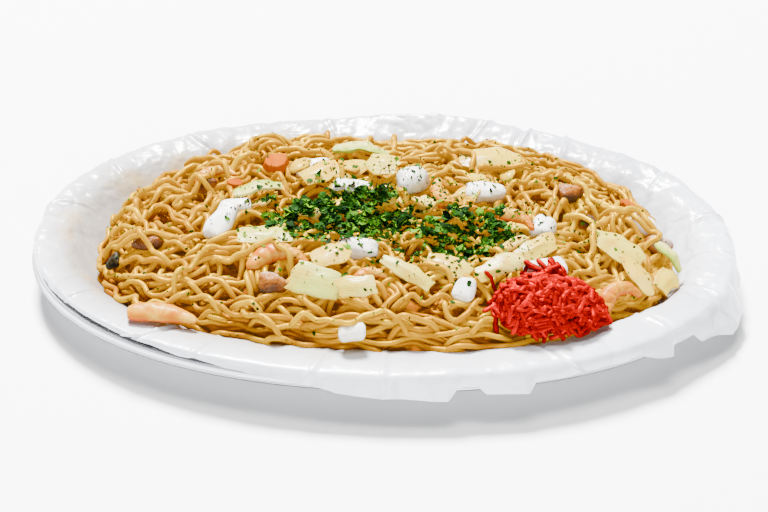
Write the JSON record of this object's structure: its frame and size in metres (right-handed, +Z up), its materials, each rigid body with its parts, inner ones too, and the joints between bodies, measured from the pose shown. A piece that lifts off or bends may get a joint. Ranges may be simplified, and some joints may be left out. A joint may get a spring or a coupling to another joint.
{
  "type": "yakisoba",
  "caption": "Seafood yakisoba: fried noodles heaped on an oval metal platter lined with thin film, with squid, shrimp, clam, onion, chopped greens and red ginger.",
  "frame": {"origin": "middle of the platter's flat foot, on the surface it stands on", "axes": "+X along the platter's long side to the diner's right, -Y towards the diner, +Z up"},
  "size_m": [0.3657, 0.2536, 0.0591],
  "materials": {
    "steel": "polished",
    "film": "satin",
    "noodle": "glossy with oil",
    "squid": "moist",
    "onion": "moist, translucent",
    "shrimp": "moist",
    "clam": "moist",
    "carrot": "moist",
    "cabbage": "moist",
    "mushroom": "moist",
    "greens": "damp",
    "ginger": "wet"
  },
  "bodies": {
    "root": {"platter": "steel", "liner_film": "film", "noodles": "noodle", "squid_01": "squid", "squid_02": "squid", "squid_03": "squid", "squid_04": "squid", "squid_05": "squid", "squid_06": "squid", "squid_07": "squid", "squid_08": "squid", "squid_09": "squid", "squid_10": "squid", "squid_11": "squid", "squid_12": "squid", "onion_01": "onion", "onion_02": "onion", "onion_03": "onion", "onion_04": "onion", "onion_05": "onion", "onion_06": "onion", "onion_07": "onion", "onion_08": "onion", "onion_09": "onion", "onion_10": "onion", "onion_11": "onion", "onion_12": "onion", "onion_13": "onion", "onion_14": "onion", "onion_15": "onion", "onion_16": "onion", "shrimp_01": "shrimp", "shrimp_02": "shrimp", "shrimp_03": "shrimp", "shrimp_04": "shrimp", "shrimp_05": "shrimp", "shrimp_06": "shrimp", "shrimp_07": "shrimp", "clam_01": "clam", "clam_02": "clam", "clam_03": "clam", "clam_04": "clam", "clam_05": "clam", "clam_06": "clam", "carrot_01": "carrot", "carrot_02": "carrot", "carrot_03": "carrot", "cabbage_01": "cabbage", "cabbage_02": "cabbage", "cabbage_03": "cabbage", "mushroom_01": "mushroom", "chopped_greens_01": "greens", "chopped_greens_02": "greens", "red_ginger": "ginger"}
  },
  "joints": []
}
